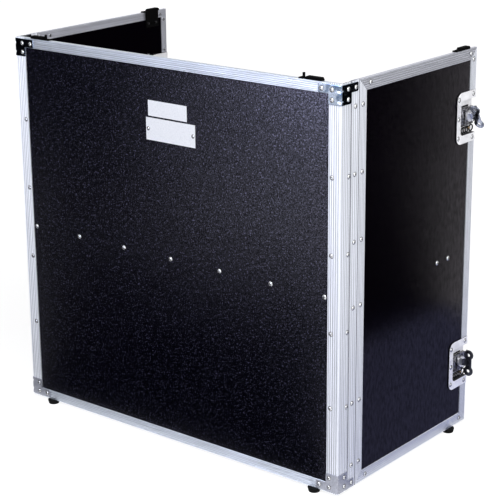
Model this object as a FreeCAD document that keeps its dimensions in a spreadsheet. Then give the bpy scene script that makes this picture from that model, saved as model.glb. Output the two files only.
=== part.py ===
import FreeCAD, Part
import math
import os
import re
import Sketcher

# Every length of the booth in millimetres
lengths = {
    "panel_height": 904,
    "panel_width": 940,
    "return_depth": 63,
    "board_thickness": 6.5,
    "edge_wall": 1.2,
    "front_flange": 23.2,
    "corner_front_flange": 31.3,
    "wing_flange": 26.5,
    "inner_flange": 20,
    "flute_depth": 0.5,
    "flute_width": 1.6,
    "lip_bevel": 0.8,
    "joint_gap": 0.3,
    "overrun": 1,
    "clearance": 0.3,
    "running_fit": 0.05,
    "hole_fit": 0.1,
    "wing_gap": 2,
    "hinge_gap": 0.6,
    "hinge_margin": 22,
    "hinge_rivet_inset": 13,
    "knuckle_radius": 2.5,
    "hinge_pin_radius": 1.25,
    "leaf_wall": 1.2,
    "bracket_wall": 1.5,
    "bracket_drop": 3,
    "bracket_leg_height": 19.5,
    "bracket_height": 42,
    "bracket_high_rivet": 13.5,
    "bracket_low_rivet": 34.8,
    "corner_front_rivet": 21.5,
    "rivet_head_radius": 4.8,
    "rivet_head_height": 2.2,
    "rivet_shank_radius": 2.4,
    "rivet_tail_radius": 3.7,
    "rivet_tail_height": 1.5,
    "bolt_head_radius": 5.3,
    "bolt_head_height": 2.4,
    "bolt_shank_radius": 2.5,
    "nut_radius": 4.5,
    "nut_height": 4,
    "screw_head_radius": 3.6,
    "screw_head_height": 1.8,
    "screw_shank_radius": 1.7,
    "screw_tip": 1,
    "screw_bite": 3.5,
    "edge_rivet_inset": 12,
    "rear_rivet_drop": 26,
    "wing_rivet_front": 40,
    "wing_rivet_rear": 24.5,
    "rail_leg": 25,
    "rail_wall": 2,
    "rail_end": 14,
    "shelf_bracket_length": 64,
    "shelf_bracket_height": 40,
    "clip_length": 58,
    "clip_height": 6.5,
    "clip_end_height": 2.5,
    "clip_slope": 3,
    "clip_raised": 38,
    "clip_leg_inset": 4,
    "clip_leg_length": 46,
    "clip_leg_height": 40,
    "clip_wall": 3,
    "clip_post_radius": 3,
    "clip_post_height": 6,
    "clip_post_inset": 11,
    "clip_screw_drop": 29,
    "clip_screw_near": 14,
    "clip_screw_far": 42,
    "clip_gap": 1.3,
    "clip_rear_offset": 29,
    "foot_height": 10,
    "foot_top_radius": 15,
    "foot_bottom_radius": 12.5,
    "foot_offset": 66,
    "foot_seat": 5,
    "foot_screw_bite": 22,
    "foot_bore_radius": 4.6,
    "label_thickness": 0.6,
    "dish_width": 78,
    "dish_height": 118,
    "dish_corner": 18,
    "dish_rim": 19,
    "dish_inner_rim": 16,
    "dish_wall": 1.2,
    "dish_depth": 11,
    "opening_corner": 10,
    "dish_edge_rivet": 11,
    "dish_end_rivet": 9,
    "dish_inner_rivet": 7.5,
    "dish_corner_rivet": 15,
    "keeper_setback": 1.5,
    "keeper_bar": 2.5,
    "keeper_height": 3.2,
    "keeper_length": 52,
    "base_wall": 3.3,
    "base_width": 45,
    "base_setback": 1.5,
    "guide_wall": 2.7,
    "guide_height": 3.4,
    "hook_wall": 2.5,
    "hook_width": 34,
    "hook_tail": 6,
    "hook_lip": 3.1,
    "hook_lip_wall": 2.5,
    "latch_setback": 21,
    "throw": 3,
    "boss_radius": 9,
    "slot_play": 0.95,
    "rotor_radius": 13,
    "rotor_rise": 0.5,
    "pivot_radius": 3,
    "pivot_head_radius": 5,
    "pivot_head_height": 1.4,
    "ear_radius": 3,
    "ear_wall": 3.3,
    "ear_span": 24,
    "handle_rise": 3,
    "handle_pin_radius": 1.25,
    "barrel_radius": 2.2,
    "handle_wall": 3,
    "handle_waist": 15,
    "lobe_radius": 12,
    "lobe_offset": 20,
    "lobe_reach": 15.6,
    "finger_hole_radius": 4,
}

# Places given as shares of a height, a width or a wing's length
corner_rivet_shares = (0.2188, 0.4063, 0.5971, 0.7824)
hinge_rivet_shares = (0.0592, 0.2197, 0.4605, 0.6212, 0.7829, 0.9408)
rail_height_share = 0.4927
rail_pitch_share = 0.1525
shelf_bolt_shares = (0.6924, 0.7927)
shelf_bracket_share = sum(shelf_bolt_shares) / 2
shelf_bolt_height_share = 0.4766
upper_latch_share = 0.8292
lower_latch_share = 0.1724
small_label_shares = (-0.0614, 0.0636, 0.8516, 0.8906)
large_label_shares = (-0.0692, 0.0893, 0.7907, 0.8471)
flute_shares = (0.18, 0.36, 0.54, 0.72, 0.88)
strip_flute_shares = (0.2, 0.45, 0.7, 0.9)
strip_share = 0.4444
corner_share = 0.5444
bracket_leg_share = 0.92
bracket_near_share = 0.357
bracket_far_share = 0.778
corner_side_rivet_share = 0.46
hinge_segments = 24
upper_turn_degrees = 30
upper_turn_share = upper_turn_degrees / 180

document = FreeCAD.newDocument("dj_booth")
sheet = document.addObject("Spreadsheet::Sheet", "sizes")
for row, (alias, value) in enumerate(lengths.items(), start=1):
    sheet.set(f"A{row}", str(value))
    sheet.setAlias(f"A{row}", alias)
document.recompute()
alias_words = re.compile(r"\b(" + "|".join(lengths) + r")\b")

# Sums used again and again, as text
shell = "(board_thickness + 2*edge_wall)"
board_back = "(board_thickness + edge_wall)"
side = "(panel_width/2)"
inner_side = f"({side} - {shell})"
strip_flange = f"(return_depth*{strip_share})"
corner_side_flange = f"(return_depth*{corner_share})"
corner_side_rivet = f"(return_depth*{corner_side_rivet_share})"
bracket_leg = f"(return_depth*{bracket_leg_share})"
bracket_near = f"(return_depth*{bracket_near_share})"
bracket_far = f"(return_depth*{bracket_far_share})"
clip_corner = f"({bracket_far} + rivet_tail_radius + clip_gap - clip_leg_inset)"
axis_drop = "(knuckle_radius + clearance)"
hinge_x = f"({inner_side} - {axis_drop})"
hinge_y = "(return_depth + hinge_gap/2)"
wing_front = "(return_depth + hinge_gap)"
wing_length = f"({hinge_x} - hinge_gap/2 - wing_gap/2)"
wing_rear = f"({wing_front} + {wing_length})"
rail_top = f"(panel_height*{rail_height_share} + rail_leg/2)"
opening_width = "(dish_width - dish_inner_rim)"
opening_half = "(dish_height/2 - dish_rim)"
pan_floor = "(dish_wall - dish_depth)"
base_top = f"({pan_floor} + base_wall)"
hook_low = f"({base_top} + clearance)"
hook_high = f"({hook_low} + hook_wall)"
lip_start = "(wing_gap + keeper_setback + keeper_bar + clearance + 2*throw)"
handle_reach = "(handle_rise + lobe_reach + lobe_radius)"
foot_overhang = f"(foot_top_radius - {shell}/2)"
frame_shift = (
    f"({foot_overhang} - {handle_reach})/2",
    f"({foot_overhang} - {wing_rear} - {lip_start} - hook_lip_wall)/2",
    "foot_height",
)
nowhere = ("0", "0", "0")
along_x = FreeCAD.Vector(1, 0, 0)
along_y = FreeCAD.Vector(0, 1, 0)
along_z = FreeCAD.Vector(0, 0, 1)
axis_turns = {
    "x": FreeCAD.Rotation(along_y, 90),
    "y": FreeCAD.Rotation(along_x, -90),
    "z": FreeCAD.Rotation(),
}
parts = []


def linked(text):
    return alias_words.sub(r"sizes.\1", text)


def number(text):
    return float(sheet.evalExpression(linked(text)))


def place(item, spot):
    for axis, value in zip("xyz", spot):
        item.setExpression(f"Placement.Base.{axis}", linked(value))


def box(low, high):
    solid = document.addObject("Part::Box", "box")
    for edge, start, end in zip(("Length", "Width", "Height"), low, high):
        solid.setExpression(edge, linked(f"({end}) - ({start})"))
    place(solid, low)
    return solid


def rod(axis, start, radius, length):
    solid = document.addObject("Part::Cylinder", "rod")
    solid.Placement = FreeCAD.Placement(FreeCAD.Vector(), axis_turns[axis])
    solid.setExpression("Radius", linked(radius))
    solid.setExpression("Height", linked(length))
    place(solid, start)
    return solid


def fuse(*solids):
    whole = document.addObject("Part::MultiFuse", "joined")
    whole.Shapes = solids
    whole.Refine = True
    return whole


def cut(solid, *tools):
    for tool in tools:
        result = document.addObject("Part::Cut", "cut")
        result.Base = solid
        result.Tool = tool
        solid = result
    return solid


def mirrored(solid, normal=along_x):
    twin = document.addObject("Part::Mirroring", "twin")
    twin.Source = solid
    twin.Normal = normal
    return twin


def padded(plane, outline, length):
    body = document.addObject("PartDesign::Body", "section_body")
    sketch = body.newObject("Sketcher::SketchObject", "section")
    planes = body.Origin.OriginFeatures
    sketch.AttachmentSupport = [(next(item for item in planes if item.Role == plane), "")]
    sketch.MapMode = "FlatFace"
    corners = [FreeCAD.Vector(number(across), number(up), 0) for across, up in outline]
    count = len(corners)
    for index, corner in enumerate(corners):
        sketch.addGeometry(Part.LineSegment(corner, corners[(index + 1) % count]), False)
    for index in range(count):
        sketch.addConstraint(Sketcher.Constraint("Coincident", index, 2, (index + 1) % count, 1))
    for index, (corner, texts) in enumerate(zip(corners, outline)):
        for kind, value, text in zip(("DistanceX", "DistanceY"), corner, texts):
            held = sketch.addConstraint(Sketcher.Constraint(kind, -1, 1, index, 1, value))
            sketch.setExpression(f"Constraints[{held}]", linked(text))
    pad = body.newObject("PartDesign::Pad", "pad")
    pad.Profile = sketch
    pad.setExpression("Length", linked(length))
    return body


def node(label, *solids, at=nowhere, turn=FreeCAD.Rotation()):
    part = document.addObject("Part::Compound", label)
    part.Label = label
    part.Links = solids
    part.Placement = FreeCAD.Placement(FreeCAD.Vector(), turn)
    place(part, [f"{spot} + {shift}" for spot, shift in zip(at, frame_shift)])
    parts.append(part)


def pair(label, solid, at=nowhere, turn=0):
    node(label.format("right"), solid, at=at, turn=FreeCAD.Rotation(along_z, turn))
    mirror_spot = (f"-({at[0]})", at[1], at[2])
    node(label.format("left"), mirrored(solid), at=mirror_spot, turn=FreeCAD.Rotation(along_z, -turn))


def group(name, shapes):
    item = document.addObject("Part::Feature", name)
    item.Shape = Part.makeCompound(shapes)
    return item


# Fasteners: head on its seat, shank through the grip, tail beyond it
fastener_kinds = {
    "rivet": ("rivet_head_radius", "rivet_head_height", "rivet_shank_radius", "rivet_tail_radius",
              "rivet_tail_height"),
    "bolt": ("bolt_head_radius", "bolt_head_height", "bolt_shank_radius", "nut_radius", "nut_height"),
    "screw": ("screw_head_radius", "screw_head_height", "screw_shank_radius", "screw_shank_radius/2",
              "screw_tip"),
}


def set_down(shape, seat, outward):
    spot = FreeCAD.Vector(*[number(value) for value in seat])
    shape.Placement = FreeCAD.Placement(spot, FreeCAD.Rotation(along_z, outward))
    return shape


def fastener(kind, seat, outward, grip):
    head, rise, shank, tail, tail_height = [number(text) for text in fastener_kinds[kind]]
    depth = number(grip)
    sphere = (head**2 + rise**2) / (2 * rise)
    half_angle = math.asin(head / sphere) / 2
    crown = FreeCAD.Vector(0, 0, rise)
    rim = FreeCAD.Vector(head, 0, 0)
    shoulder = FreeCAD.Vector(
        sphere * math.sin(half_angle), 0, rise - sphere + sphere * math.cos(half_angle)
    )
    foot = FreeCAD.Vector(0, 0, -depth - tail_height)
    stem = [
        rim,
        FreeCAD.Vector(shank, 0, 0),
        FreeCAD.Vector(shank, 0, -depth),
        FreeCAD.Vector(tail, 0, -depth),
        FreeCAD.Vector(tail, 0, -depth - tail_height),
        foot,
        crown,
    ]
    edges = [Part.Arc(crown, shoulder, rim).toShape()]
    edges += [Part.makeLine(start, end) for start, end in zip(stem, stem[1:])]
    solid = Part.Face(Part.Wire(edges)).revolve(FreeCAD.Vector(), along_z, 360)
    return set_down(solid, seat, outward)


def drill(kind, seat, outward, grip):
    head, rise, shank, tail, tail_height = fastener_kinds[kind]
    length = number(f"{grip} + {tail_height} + 2*overrun")
    start = along_z * number("overrun")
    bit = Part.makeCylinder(number(f"{shank} + hole_fit"), length, start, -along_z)
    return set_down(bit, seat, outward)


def both_sides(shapes):
    return shapes + [shape.mirror(FreeCAD.Vector(), along_x) for shape in shapes]


# Fluted channel and angle sections
def fluted_face(width, shares, spot):
    face = []
    for share in shares:
        face.append(spot(f"{width}*{share} - flute_width/2", "0"))
        face.append(spot(f"{width}*{share}", "-flute_depth"))
        face.append(spot(f"{width}*{share} + flute_width/2", "0"))
    return face


def channel(flange, length, shares=flute_shares):
    outline = [("0", "-lip_bevel"), ("lip_bevel", "0")]
    outline += fluted_face(flange, shares, lambda across, up: (across, up))
    outline += [
        (f"{flange} - lip_bevel", "0"),
        (flange, "-lip_bevel"),
        (flange, "-edge_wall"),
        ("edge_wall", "-edge_wall"),
        ("edge_wall", f"-{board_back}"),
        ("inner_flange", f"-{board_back}"),
        ("inner_flange", f"-{shell}"),
        ("lip_bevel", f"-{shell}"),
        ("0", f"-{shell} + lip_bevel"),
    ]
    return padded("YZ_Plane", outline, length)


def mitred(solid, length):
    reach = "(2*wing_flange)"
    low = f"-{shell} - overrun"
    tools = []
    for end in ("joint_gap/2 - overrun", f"{length} - joint_gap/2 + overrun"):
        wedge = box((end, "-overrun", low), (f"{end} + {reach}", f"{reach} - overrun", "overrun"))
        wedge.Placement = FreeCAD.Placement(FreeCAD.Vector(), FreeCAD.Rotation(along_z, 45))
        place(wedge, (end, "-overrun", low))
        tools.append(wedge)
    return cut(solid, *tools)


def set_edge(solid, spot, along, inward, outward):
    solid.Placement = FreeCAD.Placement(
        FreeCAD.Vector(), FreeCAD.Rotation(along, inward, outward, "XYZ")
    )
    place(solid, spot)
    return solid


# Where the fasteners of the front go, right-hand half
latch_heights = {
    "upper": f"(panel_height*{upper_latch_share})",
    "lower": f"(panel_height*{lower_latch_share})",
}
bracket_spots = (
    (bracket_near, "bracket_high_rivet", f"bracket_wall + {board_back}"),
    (bracket_far, "bracket_high_rivet", f"bracket_wall + {shell}"),
    (bracket_near, "bracket_low_rivet", f"bracket_wall + {board_back}"),
)
front_rivet_list = []
for across, drop, grip in bracket_spots:
    for height in (f"panel_height - {drop}", drop):
        front_seat = (f"{side} - {across}", "-bracket_wall", height)
        side_seat = (f"{side} + bracket_wall", across, height)
        front_rivet_list.append(("rivet", front_seat, -along_y, grip))
        front_rivet_list.append(("rivet", side_seat, along_x, grip))
for share in corner_rivet_shares:
    height = f"panel_height*{share}"
    front_seat = (f"{side} - corner_front_rivet", "0", height)
    front_rivet_list.append(("rivet", front_seat, -along_y, board_back))
    front_rivet_list.append(("rivet", (side, corner_side_rivet, height), along_x, board_back))
for share in hinge_rivet_shares:
    seat = (side, "return_depth - hinge_rivet_inset", f"panel_height*{share}")
    front_rivet_list.append(("rivet", seat, along_x, f"{shell} + leaf_wall"))

clip_grip = "clip_wall + edge_wall + screw_bite"
foot_grip = "foot_height - foot_seat + foot_screw_bite"
front_screw_list = []
for spot in ("clip_screw_near", "clip_screw_far"):
    seat = (f"{side} - {clip_corner} - {spot}", f"{shell} + clip_wall", "panel_height - clip_screw_drop")
    front_screw_list.append(("screw", seat, along_y, clip_grip))
foot_spot = (f"{side} - foot_offset", f"{shell}/2", "foot_seat - foot_height")
front_screw_list.append(("screw", foot_spot, -along_z, foot_grip))
rail_bolt_list = []
for step in range(-3, 4):
    seat = (f"panel_width*{rail_pitch_share}*{step}", "edge_wall", f"panel_height*{rail_height_share}")
    rail_bolt_list.append(("bolt", seat, -along_y, "board_thickness + rail_wall"))

right_front_list = front_rivet_list + front_screw_list
right_front_drills = group("right_front_drills", [drill(*item) for item in right_front_list])
all_front_drills = group(
    "front_drills",
    both_sides([drill(*item) for item in right_front_list]) + [drill(*item) for item in rail_bolt_list],
)
node("front_rivets", group("front_rivet_set", both_sides([fastener(*item) for item in front_rivet_list])))
node(
    "front_screws",
    group(
        "front_screw_set",
        both_sides([fastener(*item) for item in front_screw_list])
        + [fastener(*item) for item in rail_bolt_list],
    ),
)

# Front board, its two returns and the blank plates on it
front_board = box(
    (f"-{side} + edge_wall", "edge_wall", "edge_wall"),
    (f"{side} - edge_wall", board_back, "panel_height - edge_wall"),
)
node("front_panel", cut(front_board, all_front_drills))
return_board = box(
    (f"{side} - {board_back}", board_back, "edge_wall"),
    (f"{side} - edge_wall", "return_depth - edge_wall", "panel_height - edge_wall"),
)
pair("{}_return_panel", cut(return_board, right_front_drills))
plates = []
for left, right, low, high in (small_label_shares, large_label_shares):
    plates.append(
        box(
            (f"panel_height*({left})", "edge_wall - label_thickness", f"panel_height*{low}"),
            (f"panel_height*({right})", "edge_wall", f"panel_height*{high}"),
        )
    )
node("label_plates", *plates)

# Channels along the top and bottom of the front
edge_length = "(panel_width - 2*corner_front_flange - 2*joint_gap)"
edge_start = f"({edge_length}/2)"
cap_reach = f"({side} - edge_wall)"
top_channel = set_edge(
    channel("front_flange", edge_length),
    (edge_start, "0", "panel_height"), -along_x, -along_z, -along_y,
)
top_cap = box(
    (f"-{cap_reach}", "edge_wall", "panel_height - edge_wall"), (cap_reach, shell, "panel_height")
)
node("front_top_edge", cut(fuse(top_channel, top_cap), all_front_drills))
bottom_channel = set_edge(
    channel("front_flange", edge_length),
    (f"-{edge_start}", "0", "0"), along_x, along_z, -along_y,
)
bottom_cap = box((f"-{cap_reach}", "edge_wall", "0"), (cap_reach, shell, "edge_wall"))
node("front_bottom_edge", cut(fuse(bottom_channel, bottom_cap), all_front_drills))

# Corner angles and the channels on the returns
corner_outline = [
    ("-corner_front_flange", "edge_wall"),
    ("-corner_front_flange", "lip_bevel"),
    ("-corner_front_flange + lip_bevel", "0"),
]
front_flutes = fluted_face(
    "corner_front_flange", flute_shares, lambda across, up: (f"-({across})", f"-({up})")
)
corner_outline += front_flutes[::-1]
corner_outline += [("-lip_bevel", "0"), ("0", "lip_bevel")]
corner_outline += fluted_face(corner_side_flange, flute_shares, lambda across, up: (up, across))
corner_outline += [
    ("0", f"{corner_side_flange} - lip_bevel"),
    ("-lip_bevel", corner_side_flange),
    ("-edge_wall", corner_side_flange),
    ("-edge_wall", "edge_wall"),
]
corner_angle = padded("XY_Plane", corner_outline, "panel_height")
place(corner_angle, (side, "0", "0"))
pair("{}_corner_extrusion", cut(corner_angle, right_front_drills))
return_channel = set_edge(
    channel(strip_flange, "panel_height", strip_flute_shares),
    (side, "return_depth", "0"), along_z, -along_y, along_x,
)
pair("{}_return_edge", cut(return_channel, right_front_drills))

# Polished corner brackets, drawn at the top right corner
bracket_outline = [
    (f"-{bracket_leg}", "0"),
    (f"-{bracket_leg}", "-bracket_wall"),
    ("bracket_wall - lip_bevel", "-bracket_wall"),
    ("bracket_wall", "-bracket_wall + lip_bevel"),
    ("bracket_wall", bracket_leg),
    ("0", bracket_leg),
    ("0", "0"),
]
bracket_angle = padded("XY_Plane", bracket_outline, "bracket_height")
place(bracket_angle, ("0", "0", "-bracket_drop - bracket_height"))
notch_low = "-bracket_drop - bracket_height - overrun"
notch_high = "-bracket_drop - bracket_leg_height"
front_notch = box(
    (f"-{bracket_leg} - overrun", "-bracket_wall - overrun", notch_low),
    ("-corner_front_flange", "overrun", notch_high),
)
side_notch = box(
    ("-overrun", corner_side_flange, notch_low),
    ("bracket_wall + overrun", f"{bracket_leg} + overrun", notch_high),
)
bracket_holes = []
for across, drop, grip in bracket_spots:
    bore = "rivet_shank_radius + hole_fit"
    through = "bracket_wall + 2*overrun"
    bracket_holes.append(rod("y", (f"-{across}", "-bracket_wall - overrun", f"-{drop}"), bore, through))
    bracket_holes.append(rod("x", ("-overrun", across, f"-{drop}"), bore, through))
bracket = cut(bracket_angle, front_notch, side_notch, *bracket_holes)
pair("top_{}_corner_bracket", bracket, at=(side, "0", "panel_height"))
pair("bottom_{}_corner_bracket", mirrored(bracket, along_z), at=(side, "0", "0"))

# Piano hinges inside the joint between return and wing
hinge_length = "(panel_height - 2*hinge_margin)"
segment = f"({hinge_length}/{hinge_segments})"


def hinge_leaf(far_edge, near_edge, first):
    low_edge, high_edge = sorted((far_edge, near_edge), key=number)
    solids = [
        box(
            (f"{inner_side} - leaf_wall", low_edge, "hinge_margin"),
            (inner_side, high_edge, "panel_height - hinge_margin"),
        )
    ]
    low_web, high_web = sorted((near_edge, hinge_y), key=number)
    for index in range(first, hinge_segments, 2):
        low = f"(hinge_margin + {segment}*{index} + clearance/2)"
        solids.append(
            box(
                (f"{inner_side} - leaf_wall", low_web, low),
                (inner_side, high_web, f"{low} + {segment} - clearance"),
            )
        )
        solids.append(rod("z", (hinge_x, hinge_y, low), "knuckle_radius", f"{segment} - clearance"))
    bore_start = (hinge_x, hinge_y, "hinge_margin - overrun")
    bore = rod("z", bore_start, "hinge_pin_radius + running_fit", f"{hinge_length} + 2*overrun")
    return cut(fuse(*solids), bore)


frame_leaf = hinge_leaf("return_depth - inner_flange", f"{hinge_y} - {axis_drop}", 0)
pair("{}_hinge_frame_leaf", cut(frame_leaf, right_front_drills))
hinge_pin = rod("z", (hinge_x, hinge_y, "hinge_margin"), "hinge_pin_radius", hinge_length)
node("hinge_pins", hinge_pin, mirrored(hinge_pin))

# Angle across the inside of the front that carries a shelf
rail_reach = f"(panel_width*{rail_pitch_share}*3 + rail_end)"
rail = fuse(
    box(
        (f"-{rail_reach}", board_back, f"{rail_top} - rail_leg"),
        (rail_reach, f"{board_back} + rail_wall", rail_top),
    ),
    box(
        (f"-{rail_reach}", board_back, f"{rail_top} - rail_wall"),
        (rail_reach, f"{board_back} + rail_leg", rail_top),
    ),
)
node("front_shelf_rail", cut(rail, all_front_drills))

# Moulded locators that straddle the top edges
clip_outline = [
    ("0", "0"),
    ("0", "clip_end_height"),
    ("-clip_slope", "clip_height"),
    ("-clip_raised", "clip_height"),
    ("-clip_raised - clip_slope", "clip_end_height"),
    ("-clip_length", "clip_end_height"),
    ("-clip_length", "0"),
]
clip_slab = padded("XZ_Plane", clip_outline, f"{shell} + clip_wall")
place(clip_slab, ("0", f"{shell} + clip_wall", "0"))
clip_leg = box(
    ("-clip_leg_inset - clip_leg_length", shell, "-clip_leg_height"),
    ("-clip_leg_inset", f"{shell} + clip_wall", "overrun"),
)
clip_holes = []
for spot in ("clip_screw_near", "clip_screw_far"):
    start = (f"-{spot}", f"{shell} - overrun", "-clip_screw_drop")
    clip_holes.append(rod("y", start, "screw_shank_radius + hole_fit", "clip_wall + 2*overrun"))
wing_clip = cut(fuse(clip_slab, clip_leg), *clip_holes)
post_start = ("-clip_length + clip_post_inset", f"{shell}/2", "clip_end_height/2")
clip_post = rod("z", post_start, "clip_post_radius", "clip_height + clip_post_height - clip_end_height/2")
pair("{}_front_clip", fuse(wing_clip, clip_post), at=(f"{side} - {clip_corner}", "0", "panel_height"))

# Rubber feet under the bottom edges
foot_cone = document.addObject("Part::Cone", "foot_cone")
foot_cone.setExpression("Radius1", linked("foot_bottom_radius"))
foot_cone.setExpression("Radius2", linked("foot_top_radius"))
foot_cone.setExpression("Height", linked("foot_height"))
place(foot_cone, ("0", "0", "-foot_height"))
foot_pocket = rod("z", ("0", "0", "-foot_height - overrun"), "foot_bore_radius", "foot_seat + overrun")
foot_hole = rod("z", ("0", "0", "-foot_height"), "screw_shank_radius + hole_fit", "foot_height + overrun")
foot = cut(foot_cone, foot_pocket, foot_hole)
pair("{}_front_foot", foot, at=(f"{side} - foot_offset", f"{shell}/2", "0"))
pair("{}_wing_foot", foot, at=(f"{side} - {shell}/2", f"{wing_rear} - foot_offset", "0"))
wing_clip_spot = (side, f"{wing_rear} - clip_rear_offset", "panel_height")
pair("{}_wing_clip", wing_clip, at=wing_clip_spot, turn=90)

# Where the fasteners of a wing go, right-hand wing
dish_inner = "(dish_width - dish_inner_rivet)"
dish_end = "(dish_height/2 - dish_end_rivet)"
dish_side = "(dish_height/2 - dish_corner_rivet)"
dish_spots = (
    ("dish_edge_rivet", dish_end, f"dish_wall + {shell}"),
    ("dish_edge_rivet", f"-{dish_end}", f"dish_wall + {shell}"),
    (dish_inner, dish_side, f"dish_wall + {board_back}"),
    (dish_inner, f"-{dish_side}", f"dish_wall + {board_back}"),
    (dish_inner, "0", f"dish_wall + {board_back}"),
)
wing_rivet_list = []
for share in hinge_rivet_shares:
    seat = (side, f"{wing_front} + hinge_rivet_inset", f"panel_height*{share}")
    wing_rivet_list.append(("rivet", seat, along_x, f"{shell} + leaf_wall"))
for height in ("panel_height - edge_rivet_inset", "edge_rivet_inset"):
    for along in (f"{wing_front} + wing_rivet_front", f"{wing_rear} - wing_rivet_rear"):
        wing_rivet_list.append(("rivet", (side, along, height), along_x, shell))
rear_seat = (side, f"{wing_rear} - edge_rivet_inset", "panel_height - rear_rivet_drop")
wing_rivet_list.append(("rivet", rear_seat, along_x, shell))
for height in latch_heights.values():
    for inset, up, grip in dish_spots:
        seat = (f"{side} + dish_wall", f"{wing_rear} - {inset}", f"{height} + {up}")
        wing_rivet_list.append(("rivet", seat, along_x, grip))
wing_screw_list = []
for spot in ("clip_screw_near", "clip_screw_far"):
    along = f"{wing_rear} - clip_rear_offset - {spot}"
    seat = (f"{inner_side} - clip_wall", along, "panel_height - clip_screw_drop")
    wing_screw_list.append(("screw", seat, -along_x, clip_grip))
foot_spot = (f"{side} - {shell}/2", f"{wing_rear} - foot_offset", "foot_seat - foot_height")
wing_screw_list.append(("screw", foot_spot, -along_z, foot_grip))
for share in shelf_bolt_shares:
    along = f"{wing_front} + {wing_length}*{share}"
    seat = (f"{side} - edge_wall", along, f"panel_height*{shelf_bolt_height_share}")
    wing_screw_list.append(("bolt", seat, along_x, "board_thickness + rail_wall"))
wing_drills = group("wing_drills", [drill(*item) for item in wing_rivet_list + wing_screw_list])
pair("{}_wing_rivets", group("wing_rivet_set", [fastener(*item) for item in wing_rivet_list]))
pair("{}_wing_screws", group("wing_screw_set", [fastener(*item) for item in wing_screw_list]))

# Wing board and the mitred channels round it
cut_outs = []
for height in latch_heights.values():
    reach = f"({opening_half} + dish_wall + joint_gap)"
    start = f"{wing_rear} - {opening_width} - dish_wall - joint_gap"
    cut_outs.append(
        box(
            (f"{inner_side} - overrun", start, f"{height} - {reach}"),
            (f"{side} + overrun", f"{wing_rear} + overrun", f"{height} + {reach}"),
        )
    )
wing_board = box(
    (f"{side} - {board_back}", f"{wing_front} + edge_wall", "edge_wall"),
    (f"{side} - edge_wall", f"{wing_rear} - edge_wall", "panel_height - edge_wall"),
)
pair("{}_wing_panel", cut(wing_board, *cut_outs, wing_drills))
wing_edges = (
    ("front", "panel_height", (side, wing_front, "panel_height"), -along_z, along_y),
    ("rear", "panel_height", (side, wing_rear, "0"), along_z, -along_y),
    ("top", wing_length, (side, wing_rear, "panel_height"), -along_y, -along_z),
    ("bottom", wing_length, (side, wing_front, "0"), along_y, along_z),
)
for where, length, spot, along, inward in wing_edges:
    edge = mitred(channel("wing_flange", length), length)
    edge = set_edge(edge, spot, along, inward, along_x)
    if where == "rear":
        edge = cut(edge, *cut_outs)
    pair("{}_wing_" + where + "_edge", cut(edge, wing_drills))

wing_leaf = hinge_leaf(f"{wing_front} + inner_flange", f"{hinge_y} + {axis_drop}", 1)
pair("{}_hinge_wing_leaf", cut(wing_leaf, wing_drills))

# Short shelf angle inside each wing, level with the front one
shelf_middle = f"({wing_front} + {wing_length}*{shelf_bracket_share})"
shelf_start = f"{shelf_middle} - shelf_bracket_length/2"
shelf_end = f"{shelf_middle} + shelf_bracket_length/2"
shelf_angle = fuse(
    box(
        (f"{side} - {board_back} - rail_wall", shelf_start, f"{rail_top} - shelf_bracket_height"),
        (f"{side} - {board_back}", shelf_end, rail_top),
    ),
    box(
        (f"{side} - {board_back} - rail_leg", shelf_start, f"{rail_top} - rail_wall"),
        (f"{side} - {board_back}", shelf_end, rail_top),
    ),
)
pair("{}_shelf_bracket", cut(shelf_angle, wing_drills))


# Dishes let into the wings' rear edges, drawn with that edge at nought
def rounded_slab(low, high, reach, half, corner, back):
    length = f"({high}) - ({low})"
    return fuse(
        box((low, f"-({reach}) + {corner}", f"-({half})"), (high, back, half)),
        box((low, f"-({reach})", f"-({half}) + {corner}"), (high, back, f"{half} - ({corner})")),
        rod("x", (low, f"-({reach}) + {corner}", f"{half} - ({corner})"), corner, length),
        rod("x", (low, f"-({reach}) + {corner}", f"-({half}) + {corner}"), corner, length),
    )


dish_flange = rounded_slab("0", "dish_wall", "dish_width", "dish_height/2", "dish_corner", "0")
pan = rounded_slab(
    "-dish_depth", "0", f"{opening_width} + dish_wall", f"{opening_half} + dish_wall",
    "opening_corner + dish_wall", "0",
)
cavity = rounded_slab(
    pan_floor, "dish_wall + overrun", opening_width, opening_half, "opening_corner", "overrun"
)
dish_holes = []
for inset, up, grip in dish_spots:
    start = ("-overrun", f"-{inset}", up)
    dish_holes.append(rod("x", start, "rivet_shank_radius + hole_fit", "dish_wall + 2*overrun"))
dish = cut(fuse(dish_flange, pan), cavity, *dish_holes)
keeper_bar = box(
    (f"{pan_floor} - dish_wall/2", "-keeper_setback - keeper_bar", "-keeper_length/2"),
    (f"{pan_floor} + keeper_height", "-keeper_setback", "keeper_length/2"),
)
keeper_dish = mirrored(fuse(dish, keeper_bar))
pivot_start = ("-dish_depth - overrun", "-latch_setback", "0")
pivot_bore = rod("x", pivot_start, "pivot_radius + running_fit", "dish_depth")
latch_dish = cut(dish, pivot_bore)

# Guide plate on the dish floor
guide_near = "(hook_width/2 + clearance)"
guide_far = f"({guide_near} + guide_wall)"
base_low_y = "-base_setback - base_width"
base_plate = box((pan_floor, base_low_y, f"-{guide_far}"), (base_top, "-base_setback", guide_far))
guide_high = f"{base_top} + guide_height"
right_guide = box((base_top, base_low_y, guide_near), (guide_high, "-base_setback", guide_far))
left_guide = mirrored(right_guide, along_z)
latch_base = cut(fuse(base_plate, right_guide, left_guide), pivot_bore)

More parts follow.
